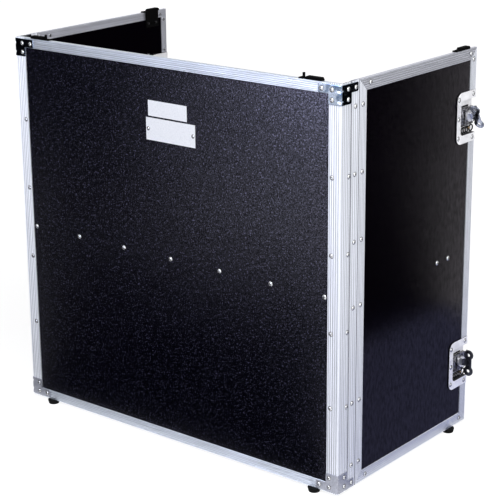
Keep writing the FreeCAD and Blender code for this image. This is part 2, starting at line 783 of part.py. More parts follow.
# Sliding hook with the slot for the eccentric
slot_middle = "(throw - latch_setback)"
slot_reach = "(boss_radius + slot_play)"
slot_half = f"({slot_reach} + throw)"
hook_plate = box(
    (hook_low, f"{slot_middle} - {slot_reach} - hook_tail", "-hook_width/2"),
    (hook_high, f"{lip_start} + hook_lip_wall", "hook_width/2"),
)
hook_slot = box(
    (f"{hook_low} - overrun", f"{slot_middle} - {slot_reach}", f"-{slot_half}"),
    (f"{hook_high} + overrun", f"{slot_middle} + {slot_reach}", slot_half),
)
hook_lip = box(
    (f"{hook_low} - hook_lip", lip_start, "-hook_width/2"),
    (hook_high, f"{lip_start} + hook_lip_wall", "hook_width/2"),
)
hook = fuse(cut(hook_plate, hook_slot), hook_lip)

# Turning disc: pivot, eccentric, disc and two ears, drawn about its own axis
disc_low = f"({hook_high} + clearance)"
pivot_low = "(-dish_depth - clearance)"
ear_inner = "(ear_span/2 - ear_wall)"
rotor_solids = [
    rod("x", (pivot_low, "0", "0"), "pivot_radius", f"{hook_low} - {pivot_low}"),
    rod("x", (f"{pivot_low} - pivot_head_height", "0", "0"), "pivot_head_radius", "pivot_head_height"),
    rod("x", (hook_low, "throw", "0"), "boss_radius", f"{disc_low} - {hook_low}"),
    rod("x", (disc_low, "0", "0"), "rotor_radius", f"rotor_rise - {disc_low}"),
]
for low, high in ((ear_inner, "ear_span/2"), ("-ear_span/2", f"-{ear_inner}")):
    rotor_solids.append(box(("0", "-ear_radius", low), ("handle_rise", "ear_radius", high)))
    rotor_solids.append(rod("z", ("handle_rise", "0", low), "ear_radius", "ear_wall"))
pin_bore = rod(
    "z", ("handle_rise", "0", "-ear_span/2 - overrun"), "handle_pin_radius + running_fit",
    "ear_span + 2*overrun",
)
rotor = cut(fuse(*rotor_solids), pin_bore)
handle_pin = rod("z", ("handle_rise", "0", "-ear_span/2"), "handle_pin_radius", "ear_span")

# Butterfly handle standing out from the disc
barrel_half = f"({ear_inner} - clearance)"
lobe_x = "(handle_rise + lobe_reach)"
handle_solids = [
    rod("z", ("handle_rise", "0", f"-{barrel_half}"), "barrel_radius", f"2*{barrel_half}"),
    box(
        ("handle_rise", "-handle_wall/2", f"-{barrel_half}"), (lobe_x, "handle_wall/2", barrel_half)
    ),
    box(
        (f"{lobe_x} - handle_waist/2", "-handle_wall/2", "-lobe_offset"),
        (f"{lobe_x} + handle_waist/2", "handle_wall/2", "lobe_offset"),
    ),
]
handle_tools = [pin_bore]
for along in ("lobe_offset", "-lobe_offset"):
    handle_solids.append(rod("y", (lobe_x, "-handle_wall/2", along), "lobe_radius", "handle_wall"))
    hole_start = (lobe_x, "-handle_wall/2 - overrun", along)
    handle_tools.append(rod("y", hole_start, "finger_hole_radius", "handle_wall + 2*overrun"))
handle = cut(fuse(*handle_solids), *handle_tools)

# The two latches; the upper one stands part-turned with its hook drawn in to match
for where, turn_degrees, turn_share in (("upper", upper_turn_degrees, upper_turn_share), ("lower", 0, 0)):
    height = latch_heights[where]
    edge_spot = (side, wing_rear, height)
    axis_spot = (side, f"{wing_rear} - latch_setback", height)
    hook_spot = (side, f"{wing_rear} - 2*throw*{turn_share}", height)
    turn = FreeCAD.Rotation(along_x, turn_degrees)
    node(f"{where}_keeper_dish", keeper_dish, at=(f"-{side}", wing_rear, height))
    node(f"{where}_latch_dish", latch_dish, at=edge_spot)
    node(f"{where}_latch_base", latch_base, at=edge_spot)
    node(f"{where}_latch_hook", hook, at=hook_spot)
    node(f"{where}_latch_rotor", rotor, at=axis_spot, turn=turn)
    node(f"{where}_latch_handle", handle, at=axis_spot, turn=turn)
    node(f"{where}_handle_pin", handle_pin, at=axis_spot, turn=turn)

document.recompute()
for item in document.Objects:
    if "Invalid" in item.State or "Error" in item.State:
        raise RuntimeError(f"{item.Label} did not build")
os.makedirs("parts", exist_ok=True)
for part in parts:
    if part.Shape.isNull() or not part.Shape.isValid():
        raise RuntimeError(f"{part.Label} has no sound shape")
    part.Shape.exportStep(f"parts/{part.Label}.step")
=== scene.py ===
import math

import bmesh
import bpy
from mathutils import Matrix, Vector


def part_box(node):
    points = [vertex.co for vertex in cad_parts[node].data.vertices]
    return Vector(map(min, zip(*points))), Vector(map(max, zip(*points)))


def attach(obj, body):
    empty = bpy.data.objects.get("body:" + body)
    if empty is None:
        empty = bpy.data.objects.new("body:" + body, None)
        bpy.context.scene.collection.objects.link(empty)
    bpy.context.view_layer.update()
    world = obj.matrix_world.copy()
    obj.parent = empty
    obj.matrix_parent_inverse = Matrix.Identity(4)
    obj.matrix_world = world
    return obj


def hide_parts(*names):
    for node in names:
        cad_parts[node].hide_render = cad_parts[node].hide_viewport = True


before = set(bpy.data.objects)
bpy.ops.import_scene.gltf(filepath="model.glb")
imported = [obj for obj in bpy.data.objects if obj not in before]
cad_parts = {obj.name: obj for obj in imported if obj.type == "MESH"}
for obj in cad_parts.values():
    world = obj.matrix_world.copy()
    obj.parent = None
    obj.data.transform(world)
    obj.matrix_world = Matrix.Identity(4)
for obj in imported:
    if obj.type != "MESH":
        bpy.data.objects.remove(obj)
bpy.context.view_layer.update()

# Boards: the front, the two narrow returns beside it and the two wings.
# Thin plywood faced on both sides with black laminate, pebbled on the front and close
# grained on the wings, cut square and slid into the aluminium edging.
FRONT_BLACK = ((0.0002, 0.0001, 0.0014, 1), (0.0540, 0.0530, 0.0930, 1))
FRONT_SHEEN = (0.78, 0.77, 1.0)
FRONT_ROUGHNESS = 0.24
FRONT_SHINE = 0.42
PEBBLES_PER_METRE = 330
PEBBLE_DETAIL = 2.0
PEBBLE_TINT_SPAN = (0.58, 0.73)
PEBBLE_SHINE = (0.18, 1.0)
PEBBLE_SHINE_SPAN = (0.38, 0.60)
PEBBLE_RELIEF = (0.8, 0.0004)
WING_BLACK = ((0.0004, 0.0002, 0.0007, 1), (0.0016, 0.0008, 0.0026, 1))
WING_SHEEN = (0.92, 0.70, 1.0)
WING_ROUGHNESS = (0.09, 0.16)
WING_SHINE = 0.14
CLOSE_GRAIN_PER_METRE = 900
CLOSE_GRAIN_STRETCH = (1, 1, 0.25)
CLOSE_GRAIN_TINT_SPAN = (0.3, 0.75)
CLOSE_GRAIN_RELIEF = (0.12, 0.0005)
FIGURE_PER_METRE = 150
FIGURE_STRETCH = (1, 1, 0.4)
FIGURE_DETAIL = 4.0
FIGURE_SHINE = (0.09, 0.23)
FIGURE_SHINE_SPAN = (0.36, 0.64)
EVEN = (1, 1, 1)
NEUTRAL = (1, 1, 1)
GRAIN_DETAIL = 3.0
GRAIN_ROUGHNESS = 0.6
GRAIN_SPAN = (0.3, 0.7)


def start_finish(name, roughness, metallic=0.0, specular=0.5, sheen=NEUTRAL):
    finish = bpy.data.materials.new(name)
    finish.use_nodes = True
    shader = finish.node_tree.nodes["Principled BSDF"]
    shader.inputs["Roughness"].default_value = roughness
    shader.inputs["Metallic"].default_value = metallic
    shader.inputs["Specular IOR Level"].default_value = specular
    shader.inputs["Specular Tint"].default_value = (*sheen, 1)
    return finish, shader


def lay(holder, kind, values=None, **settings):
    made = holder.node_tree.nodes.new("ShaderNode" + kind)
    for name, value in settings.items():
        setattr(made, name, value)
    for name, value in (values or {}).items():
        made.inputs[name].default_value = value
    return made


def wire(holder, source, target):
    holder.node_tree.links.new(source, target)


def grain_in_place(finish, per_metre, stretch=EVEN, detail=GRAIN_DETAIL):
    place = lay(finish, "TexCoord")
    spread = lay(finish, "Mapping", {"Scale": stretch})
    grain = lay(finish, "TexNoise", {"Scale": per_metre, "Detail": detail, "Roughness": GRAIN_ROUGHNESS})
    wire(finish, place.outputs["Object"], spread.inputs["Vector"])
    wire(finish, spread.outputs["Vector"], grain.inputs["Vector"])
    return grain.outputs["Fac"]


def tint(finish, grain, shader, colours, span=GRAIN_SPAN):
    ramp = lay(finish, "ValToRGB")
    for element, position, colour in zip(ramp.color_ramp.elements, span, colours):
        element.position = position
        element.color = colour
    wire(finish, grain, ramp.inputs["Fac"])
    wire(finish, ramp.outputs["Color"], shader.inputs["Base Color"])
    return ramp.outputs["Color"]


def vary(holder, source, target, limits, span=GRAIN_SPAN):
    between = lay(holder, "MapRange", {
        "From Min": span[0], "From Max": span[1], "To Min": limits[0], "To Max": limits[1],
    })
    wire(holder, source, between.inputs["Value"])
    wire(holder, between.outputs["Result"], target)


def emboss(finish, grain, shader, relief):
    strength, depth = relief
    bump = lay(finish, "Bump", {"Strength": strength, "Distance": depth})
    wire(finish, grain, bump.inputs["Height"])
    wire(finish, bump.outputs["Normal"], shader.inputs["Normal"])


def dress(finish, *names):
    for name in names:
        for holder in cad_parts[name].material_slots:
            holder.material = finish


pebbled_laminate, shader = start_finish(
    "pebbled_black_laminate", FRONT_ROUGHNESS, specular=FRONT_SHINE, sheen=FRONT_SHEEN
)
pebbles = grain_in_place(pebbled_laminate, PEBBLES_PER_METRE, detail=PEBBLE_DETAIL)
tint(pebbled_laminate, pebbles, shader, FRONT_BLACK, PEBBLE_TINT_SPAN)
vary(pebbled_laminate, pebbles, shader.inputs["Specular IOR Level"], PEBBLE_SHINE, PEBBLE_SHINE_SPAN)
emboss(pebbled_laminate, pebbles, shader, PEBBLE_RELIEF)
dress(pebbled_laminate, "front_panel")

close_laminate, shader = start_finish(
    "close_grained_black_laminate", sum(WING_ROUGHNESS) / 2, specular=WING_SHINE, sheen=WING_SHEEN
)
close_grain = grain_in_place(close_laminate, CLOSE_GRAIN_PER_METRE, CLOSE_GRAIN_STRETCH)
tint(close_laminate, close_grain, shader, WING_BLACK, CLOSE_GRAIN_TINT_SPAN)
vary(close_laminate, close_grain, shader.inputs["Roughness"], WING_ROUGHNESS)
emboss(close_laminate, close_grain, shader, CLOSE_GRAIN_RELIEF)
figure = grain_in_place(close_laminate, FIGURE_PER_METRE, FIGURE_STRETCH, FIGURE_DETAIL)
vary(close_laminate, figure, shader.inputs["Specular IOR Level"], FIGURE_SHINE, FIGURE_SHINE_SPAN)
dress(close_laminate, "left_return_panel", "right_return_panel", "left_wing_panel", "right_wing_panel")

# Edging: the channels round every board and the two corner angles of the front.
# Drawn aluminium, satin, with flutes and faint streaks along each length, cut to mitres and riveted on;
# painted shade darkens the flute walls and the lips at the joints, the lengths get lighter and darker
# copies of one colour as painted light and shade, and they differ in polish.
ALONG_X, ALONG_Y, ALONG_Z = range(3)
ACROSS_ALUMINIUM = ((0.49, 0.53, 0.60, 1), (0.71, 0.76, 0.84, 1))
# Painted shade and light: the back colour is a darker copy and the pale colour a lighter copy of the same
# aluminium.
SHADED_ALUMINIUM = ((0.46, 0.47, 0.53, 1), (0.67, 0.68, 0.76, 1))
UPRIGHT_ALUMINIUM = ((0.63, 0.65, 0.70, 1), (0.81, 0.83, 0.89, 1))
LIT_ALUMINIUM = ((0.84, 0.86, 0.91, 1), (0.95, 0.97, 1.00, 1))
# Painted shade: the flute colours below darken the walls of the flutes, and the lip colour darkens the
# lips along the joints, for the shade in grooves and gaps.
UPRIGHT_FLUTE_SHADE = (0.36, 0.37, 0.40, 1)
LEVEL_FLUTE_SHADE = (0.51, 0.54, 0.60, 1)
PALE_FLUTE_SHADE = (0.50, 0.51, 0.54, 1)
BACK_FLUTE_SHADE = (0.36, 0.37, 0.41, 1)
LIP_SHADE = (0.05, 0.05, 0.06, 1)
BRIGHT_ROUGHNESS = (0.3, 0.42)
LEVEL_ROUGHNESS = (0.34, 0.46)
UPRIGHT_ROUGHNESS = (0.6, 0.75)
STREAKS_PER_METRE = 650
STREAK_STRETCH = 0.004
STREAK_DETAIL = 4.0
STREAK_TINT_SPAN = (0.25, 0.6)
STREAK_RELIEF = (0.7, 0.0012)
FLUTE_DEPTH = 0.0005
FLUTE_WALL_WIDTH = 0.0008
FLUTE_WALL_FACING = math.cos(math.atan2(FLUTE_DEPTH, FLUTE_WALL_WIDTH))
DIAGONAL = math.sqrt(0.5)
LIP_FACING = DIAGONAL
FACING_MARGIN = 0.05
MIX_FACTOR = 0
MIX_FIRST = 6
MIX_SECOND = 7
MIX_RESULT = 2


def darken_where(finish, mask, colour, shader, dark):
    blend = lay(finish, "Mix", {MIX_SECOND: dark}, data_type="RGBA")
    wire(finish, mask, blend.inputs[MIX_FACTOR])
    wire(finish, colour, blend.inputs[MIX_FIRST])
    wire(finish, blend.outputs[MIX_RESULT], shader.inputs["Base Color"])
    return blend.outputs[MIX_RESULT]


def calculate(finish, operation, first, second):
    made = lay(finish, "Math", operation=operation)
    wire(finish, first, made.inputs[0])
    if isinstance(second, float):
        made.inputs[1].default_value = second
    else:
        wire(finish, second, made.inputs[1])
    return made.outputs["Value"]


def parts_of(finish, source):
    place = lay(finish, "TexCoord")
    split = lay(finish, "SeparateXYZ")
    wire(finish, place.outputs[source], split.inputs["Vector"])
    return split.outputs


def facing_close_to(finish, middle):
    facing = lay(finish, "TexCoord")
    sizes = lay(finish, "VectorMath", operation="ABSOLUTE")
    split = lay(finish, "SeparateXYZ")
    wire(finish, facing.outputs["Normal"], sizes.inputs[0])
    wire(finish, sizes.outputs["Vector"], split.inputs["Vector"])
    level = calculate(finish, "MAXIMUM", split.outputs["X"], split.outputs["Y"])
    largest = calculate(finish, "MAXIMUM", level, split.outputs["Z"])
    close = lay(finish, "Math", {1: middle, 2: FACING_MARGIN}, operation="COMPARE")
    wire(finish, largest, close.inputs[0])
    return close.outputs["Value"]


def shaded_flute_walls(finish):
    return facing_close_to(finish, FLUTE_WALL_FACING)


def all_lips(finish):
    return facing_close_to(finish, LIP_FACING)


def lips_off_the_corner(finish):
    # On the right a lip's normal has x and y of one sign, on the left of opposite signs.
    facing = parts_of(finish, "Normal")
    side = parts_of(finish, "Object")
    diagonal = calculate(finish, "MULTIPLY", facing["X"], facing["Y"])
    inward = calculate(finish, "MULTIPLY", diagonal, side["X"])
    inner = calculate(finish, "GREATER_THAN", inward, 0.0)
    return calculate(finish, "MULTIPLY", inner, all_lips(finish))


def grained(name, per_metre, colours, roughness, metallic=1.0, specular=0.5, stretch=EVEN,
            detail=GRAIN_DETAIL, tint_span=GRAIN_SPAN, relief=None, darker=()):
    finish, shader = start_finish(name, sum(roughness) / 2, metallic, specular)
    grain = grain_in_place(finish, per_metre, stretch, detail)
    colour = tint(finish, grain, shader, colours, tint_span)
    for find_mask, dark in darker:
        colour = darken_where(finish, find_mask(finish), colour, shader, dark)
    vary(finish, grain, shader.inputs["Roughness"], roughness)
    if relief:
        emboss(finish, grain, shader, relief)
    return finish


def drawn_aluminium(name, along, colours, flute_shade, roughness, lips=None):
    stretch = list(EVEN)
    stretch[along] = STREAK_STRETCH
    # Painted shade in the flutes and along the lips at the joints.
    darker = [(shaded_flute_walls, flute_shade)]
    if lips:
        darker.append((lips, LIP_SHADE))
    return grained(
        name, STREAKS_PER_METRE, colours, roughness, stretch=stretch, detail=STREAK_DETAIL,
        tint_span=STREAK_TINT_SPAN, relief=STREAK_RELIEF, darker=darker,
    )


dress(
    drawn_aluminium("aluminium_drawn_across", ALONG_X, ACROSS_ALUMINIUM, LEVEL_FLUTE_SHADE, LEVEL_ROUGHNESS),
    "front_top_edge", "front_bottom_edge",
)
# Painted light and shade: the wing tops and the left wing's rear edge take a darker copy of the aluminium,
# and the left corner a lighter one.
dress(
    drawn_aluminium("aluminium_drawn_back", ALONG_Y, SHADED_ALUMINIUM, BACK_FLUTE_SHADE, LEVEL_ROUGHNESS),
    "left_wing_top_edge", "right_wing_top_edge",
)
dress(
    drawn_aluminium("aluminium_drawn_back_low", ALONG_Y, UPRIGHT_ALUMINIUM, LEVEL_FLUTE_SHADE, LEVEL_ROUGHNESS),
    "left_wing_bottom_edge", "right_wing_bottom_edge",
)
dress(
    drawn_aluminium(
        "aluminium_drawn_upright", ALONG_Z, UPRIGHT_ALUMINIUM, UPRIGHT_FLUTE_SHADE, UPRIGHT_ROUGHNESS, all_lips
    ),
    "left_return_edge", "right_return_edge", "left_wing_front_edge", "right_wing_front_edge",
    "right_wing_rear_edge",
)
dress(
    drawn_aluminium(
        "aluminium_drawn_corner", ALONG_Z, UPRIGHT_ALUMINIUM, UPRIGHT_FLUTE_SHADE, UPRIGHT_ROUGHNESS,
        lips_off_the_corner,
    ),
    "right_corner_extrusion",
)
dress(
    drawn_aluminium(
        "aluminium_drawn_lit", ALONG_Z, LIT_ALUMINIUM, PALE_FLUTE_SHADE, UPRIGHT_ROUGHNESS, lips_off_the_corner
    ),
    "left_corner_extrusion",
)
dress(
    drawn_aluminium("aluminium_drawn_bright_shaded", ALONG_Z, SHADED_ALUMINIUM, LEVEL_FLUTE_SHADE, BRIGHT_ROUGHNESS),
    "left_wing_rear_edge",
)

# Corner brackets: four folded plates that tie the corner angles to the edging.
# Pressed steel with rounded ends, a rounded fold and two dents pressed across the fold, each
# held by six rivets; the upper pair is bright chrome, the lower pair is scuffed dull.
BRACKET_WALL = 0.0015
BRACKET_FOLD = 0.0024
BRACKET_BEND = BRACKET_FOLD * math.pi / 2
BRACKET_CORNER = 0.003
BRACKET_LEG_HEIGHT = 0.0195
FRONT_STEM = 0.0328
SIDE_STEM = 0.0358
BRACKET_DENTS = (0.0115, 0.0330)
DENT_DEPTH = 0.0013
DENT_HALF_WIDTH = 0.0055
DENT_HALF_HEIGHT = 0.0026
END_STEPS = (0.0, 0.0004, 0.001, 0.0018, BRACKET_CORNER)
LEG_COLUMNS = 6
STEM_COLUMNS = 14
FOLD_COLUMNS = 8
LEG_ROWS = 12
STEM_ROWS = 14
BRACKET_EDGE = 0.0004
BRACKET_EDGE_SEGMENTS = 2
BRACKET_EDGE_ANGLE = math.radians(50)
TOUCHING = 0.000001
CHROME = ((0.10, 0.15, 0.25, 1), (0.36, 0.41, 0.50, 1))
SCUFFED_CHROME = ((0.30, 0.31, 0.36, 1), (0.46, 0.47, 0.53, 1))

bracket_finishes = {
    "top": grained(
        "bracket_chrome", per_metre=60, colours=CHROME, roughness=(0.05, 0.14), tint_span=(0.34, 0.56)
    ),
    "bottom": grained("scuffed_chrome", per_metre=260, colours=SCUFFED_CHROME, roughness=(0.42, 0.6)),
}


def add_piece(name, made, finish, body):
    mesh = bpy.data.meshes.new(name)
    made.to_mesh(mesh)
    made.free()
    piece = bpy.data.objects.new(name, mesh)
    bpy.context.scene.collection.objects.link(piece)
    piece.data.materials.append(finish)
    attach(piece, body)
    return piece


def rounded_cut(from_end):
    if from_end >= BRACKET_CORNER:
        return 0.0
    return BRACKET_CORNER - math.sqrt(max(BRACKET_CORNER**2 - (BRACKET_CORNER - from_end) ** 2, 0.0))


def bracket_columns(ends):
    runs = []
    for stem in (FRONT_STEM - BRACKET_FOLD, SIDE_STEM - BRACKET_FOLD):
        straight = ends - BRACKET_CORNER - stem
        run = [ends - step for step in END_STEPS]
        run += [ends - BRACKET_CORNER - straight * k / LEG_COLUMNS for k in range(1, LEG_COLUMNS)]
        run += [stem - step for step in END_STEPS]
        run += [(stem - BRACKET_CORNER) * (1 - k / STEM_COLUMNS) for k in range(1, STEM_COLUMNS)]
        runs.append(run)
    front, side = runs
    fold = [BRACKET_BEND * k / FOLD_COLUMNS for k in range(FOLD_COLUMNS + 1)]
    return [-s for s in front] + fold + [BRACKET_BEND + s for s in reversed(side)]


def round_the_fold(s):
    # s runs along the sheet: the front leg below 0, then the fold, then the side leg.
    if s <= 0:
        return Vector((BRACKET_FOLD - s, 0.0)), FRONT_STEM - BRACKET_FOLD, -s
    if s < BRACKET_BEND:
        angle = s / BRACKET_FOLD
        spot = Vector((BRACKET_FOLD * (1 - math.sin(angle)), BRACKET_FOLD * (1 - math.cos(angle))))
        return spot, SIDE_STEM, 0.0
    past = s - BRACKET_BEND
    return Vector((0.0, BRACKET_FOLD + past)), SIDE_STEM - BRACKET_FOLD, past


def bracket_levels(stem, reach, ends, height):
    cut = rounded_cut(ends - reach)
    if reach > stem + TOUCHING:
        return [cut + (BRACKET_LEG_HEIGHT - 2 * cut) * k / LEG_ROWS for k in range(LEG_ROWS + 1)]
    stem_height = height - BRACKET_LEG_HEIGHT - rounded_cut(stem - reach)
    levels = [cut + (BRACKET_LEG_HEIGHT - cut) * k / LEG_ROWS for k in range(LEG_ROWS + 1)]
    return levels + [BRACKET_LEG_HEIGHT + stem_height * k / STEM_ROWS for k in range(1, STEM_ROWS + 1)]


def dent(across, drop):
    return DENT_DEPTH * sum(
        math.exp(-((across / DENT_HALF_WIDTH) ** 2) - ((drop - middle) / DENT_HALF_HEIGHT) ** 2)
        for middle in BRACKET_DENTS
    )


def folded_bracket(level, hand_name):
    node = f"{level}_{hand_name}_corner_bracket"
    low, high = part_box(node)
    hand = 1 if hand_name == "right" else -1
    upright = 1 if level == "top" else -1
    corner_x = high.x if hand > 0 else low.x
    top = high.z if upright > 0 else low.z
    ends = high.y - low.y - BRACKET_FOLD
    columns = bracket_columns(ends)
    skin = bmesh.new()
    lattice = {}
    for i, s in enumerate(columns):
        spot, stem, reach = round_the_fold(s)
        for j, drop in enumerate(bracket_levels(stem, reach, ends, high.z - low.z)):
            inward = dent(abs(s - BRACKET_BEND / 2), drop) * DIAGONAL
            lattice[i, j] = skin.verts.new((
                corner_x - hand * (spot.x + inward), low.y + spot.y + inward, top - upright * drop,
            ))
    for i in range(len(columns) - 1):
        for j in range(LEG_ROWS + STEM_ROWS):
            square = [(i, j), (i, j + 1), (i + 1, j + 1), (i + 1, j)]
            if all(place in lattice for place in square):
                skin.faces.new([lattice[place] for place in square])
    bmesh.ops.recalc_face_normals(skin, faces=skin.faces)
    front_face = max(skin.faces, key=lambda face: abs(face.normal.y))
    if front_face.normal.y > 0:
        bmesh.ops.reverse_faces(skin, faces=skin.faces)
    for face in skin.faces:
        face.smooth = True
    name = f"{level}_{hand_name}_folded_bracket"
    plate = add_piece(name, skin, bracket_finishes[level], "front")
    wall = plate.modifiers.new("wall", "SOLIDIFY")
    wall.thickness = BRACKET_WALL
    wall.offset = -1
    edge = plate.modifiers.new("edge", "BEVEL")
    edge.width = BRACKET_EDGE
    edge.segments = BRACKET_EDGE_SEGMENTS
    edge.limit_method = "ANGLE"
    edge.angle_limit = BRACKET_EDGE_ANGLE
    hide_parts(node)


for hand_name in ("left", "right"):
    for level in ("top", "bottom"):
        folded_bracket(level, hand_name)

# Rivets: blind rivets through the edging, brackets, hinges and latch dishes.
# Aluminium domes set from outside, each in a thin dark ring of painted shade; pulling the stem leaves a
# small sunk, rough hole in the crown, the broken steel stem in it dark partly as steel and partly as
# painted shade.
RIVET_HEAD = 0.0096
HEAD_SLACK = 0.0004
# Each point of a turned profile is its radius and its height above the crown.
STEM_PROFILE = (
    (0, -0.00015), (0.000725, -0.0001), (0.00145, 0.00005), (0.001595, 0.00016),
    (0.001785, 0.00018), (0.0021, 0.00002), (0.0021, -0.0008), (0, -0.0008),
)
STEM_SIDES = 16
# Painted shade: a thin dark ring round the foot of each head stands for the shade at its rim.
SHADE_RING_PROFILE = (
    (0.0045, -0.0021), (0.0055, -0.0021), (0.0055, -0.0020),
    (0.0052, -0.0019), (0.0045, -0.0019), (0.0045, -0.0021),
)
TURNED_SIDES = 24
RIVET_GREYS = ((0.55, 0.56, 0.58, 1), (0.82, 0.83, 0.85, 1))
# Painted shade: the stem greys are darker than bare steel for the shade in the pit, and they also colour
# the painted-shade rings and crosses.
STEM_SHADE_GREYS = ((0.012, 0.012, 0.013, 1), (0.09, 0.088, 0.085, 1))
STEM_ROUGHNESS = 0.55
STEM_METALLIC = 0.8
STEM_PITS_PER_METRE = 1500
STEM_RELIEF = (0.5, 0.0003)
FASTENED_BODIES = ("front", "left_wing", "right_wing")

rivet_aluminium = grained("rivet_aluminium", per_metre=400, colours=RIVET_GREYS, roughness=(0.18, 0.34))

stem_steel_and_shade, shader = start_finish("stem_steel_and_painted_shade", STEM_ROUGHNESS, STEM_METALLIC)
pits = grain_in_place(stem_steel_and_shade, STEM_PITS_PER_METRE)
tint(stem_steel_and_shade, pits, shader, STEM_SHADE_GREYS)
emboss(stem_steel_and_shade, pits, shader, STEM_RELIEF)


def separate_solids(node):
    joined = bmesh.new()
    joined.from_mesh(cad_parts[node].data)
    bmesh.ops.remove_doubles(joined, verts=joined.verts, dist=TOUCHING)
    waiting = set(joined.verts)
    boxes = []
    while waiting:
        first = waiting.pop()
        edge, members = [first], [first]
        while edge:
            for link in edge.pop().link_edges:
                for vert in link.verts:
                    if vert in waiting:
                        waiting.discard(vert)
                        edge.append(vert)
                        members.append(vert)
        low = Vector([min(vert.co[k] for vert in members) for k in range(3)])
        high = Vector([max(vert.co[k] for vert in members) for k in range(3)])
        boxes.append((low, high))
    joined.free()
    return sorted(boxes, key=lambda box: tuple(round(c, 6) for c in (box[0] + box[1])))


def crowns(node, head_width):
    places = []
    for low, high in separate_solids(node):
        size = high - low
        round_sides = [abs(size[k] - head_width) < HEAD_SLACK for k in range(3)]
        if sum(round_sides) != 2 or not round_sides[ALONG_Z]:
            continue
        centre = (low + high) / 2
        if round_sides[ALONG_X]:
            outward = Vector((0, -1, 0))
            centre.y = low.y
        else:
            outward = Vector((1 if centre.x > 0 else -1, 0, 0))
            centre.x = high.x if outward.x > 0 else low.x
        places.append((centre, outward))
    return places


def turned_on(places, profile, sides):
    turned = bmesh.new()
    for centre, outward in places:
        spin = outward.to_track_quat("Z", "Y").to_matrix()
        rings = []
        for radius, height in profile:
            if radius == 0:
                rings.append([turned.verts.new(centre + outward * height)])
                continue
            rings.append([
                turned.verts.new(centre + spin @ Vector((
                    radius * math.cos(2 * math.pi * k / sides),
                    radius * math.sin(2 * math.pi * k / sides),
                    height,
                )))
                for k in range(sides)
            ])
        for inner, outer in zip(rings, rings[1:]):
            for k in range(sides):
                nxt = (k + 1) % sides
                if len(inner) == 1:
                    turned.faces.new((inner[0], outer[k], outer[nxt]))
                elif len(outer) == 1:
                    turned.faces.new((inner[k], outer[0], inner[nxt]))
                else:
                    turned.faces.new((inner[k], outer[k], outer[nxt], inner[nxt]))
    bmesh.ops.recalc_face_normals(turned, faces=turned.faces)
    for face in turned.faces:
        face.smooth = True
    return turned


for body in FASTENED_BODIES:
    dress(rivet_aluminium, f"{body}_rivets")
    places = crowns(f"{body}_rivets", RIVET_HEAD)
    stems = turned_on(places, STEM_PROFILE, STEM_SIDES)
    add_piece(f"{body}_rivet_stems", stems, stem_steel_and_shade, body)
    # Painted shade: the dark rings round the rivet heads.
    shade_rings = turned_on(places, SHADE_RING_PROFILE, TURNED_SIDES)
    add_piece(f"{body}_rivet_shade_rings", shade_rings, stem_steel_and_shade, body)

# Hinges: a long piano hinge inside each joint between return and wing.
# Rolled zinc-plated steel leaves with knuckles on one pin, riveted through the edging.
HINGE_GREYS = ((0.40, 0.41, 0.42, 1), (0.62, 0.63, 0.64, 1))

hinge_zinc = grained(
    "hinge_zinc_plate", per_metre=120, colours=HINGE_GREYS, roughness=(0.22, 0.4), stretch=(1, 1, 0.2)
)
dress(
    hinge_zinc, "hinge_pins",
    *(f"{hand}_hinge_{side}_leaf" for hand in ("left", "right") for side in ("frame", "wing")),
)

# Shelf supports: a rail across the inside of the front and one bracket on each wing.
# Plain mill-finish aluminium angle, bolted through the boards.
MILL_GREYS = ((0.48, 0.48, 0.49, 1), (0.68, 0.68, 0.69, 1))

mill_aluminium = grained(
    "mill_aluminium", per_metre=300, colours=MILL_GREYS, roughness=(0.32, 0.5), stretch=(0.05, 0.05, 1),
    relief=(0.06, 0.0003),
)
dress(mill_aluminium, "front_shelf_rail", "left_shelf_bracket", "right_shelf_bracket")

# Top clips: four moulded pieces on the top edging that locate the table top by their posts.
# Black nylon with a fine moulded grain and rounded edges, screwed to the boards from inside.
NYLON_BLACKS = ((0.001, 0.001, 0.001, 1), (0.004, 0.004, 0.0045, 1))
CLIP_EDGE = 0.0006
WELD_DISTANCE = 0.000002
SOFT_EDGE_ANGLE = math.radians(35)

black_nylon = grained(
    "black_nylon", per_metre=1400, colours=NYLON_BLACKS, roughness=(0.62, 0.8), metallic=0.0,
    specular=0.02, relief=(0.2, 0.0002),
)


def soften(width, *names, segments=2):
    for name in names:
        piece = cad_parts[name]
        weld = piece.modifiers.new("weld", "WELD")
        weld.merge_threshold = WELD_DISTANCE
        edge = piece.modifiers.new("edge", "BEVEL")
        edge.width = width
        edge.segments = segments
        edge.limit_method = "ANGLE"
        edge.angle_limit = SOFT_EDGE_ANGLE
        flat = piece.modifiers.new("flat", "WEIGHTED_NORMAL")
        flat.keep_sharp = True


clip_nodes = [f"{hand}_{board}_clip" for hand in ("left", "right") for board in ("front", "wing")]
dress(black_nylon, *clip_nodes)
soften(CLIP_EDGE, *clip_nodes)

# Feet: one rubber foot under each end of the front and one under each wing.
# Moulded black rubber with rounded edges, screwed up into the bottom edging.
RUBBER_BLACKS = ((0.002, 0.002, 0.002, 1), (0.007, 0.007, 0.0075, 1))
FOOT_EDGE = 0.0008

black_rubber = grained(
    "black_rubber", per_metre=500, colours=RUBBER_BLACKS, roughness=(0.7, 0.9), metallic=0.0,
    specular=0.1, relief=(0.15, 0.0004),
)
foot_nodes = [f"{hand}_{board}_foot" for hand in ("left", "right") for board in ("front", "wing")]
dress(black_rubber, *foot_nodes)
soften(FOOT_EDGE, *foot_nodes)

# Label plates: two thin blank plates on the upper half of the front.
# White coated card under a clear film; the small one is stuck on, the large one also has a small rivet
# near each end, ringed dark as painted shade.
LABEL_WHITES = ((0.70, 0.71, 0.73, 1), (0.80, 0.81, 0.82, 1))
PLATE_RIVET_INSET = 0.0062
PLATE_RIVET_PROFILE = (
    (0, 0.0012), (0.00136, 0.00114), (0.00238, 0.0009), (0.003128, 0.00048),
    (0.0034, 0), (0.0034, -0.0003), (0, -0.0003),
)
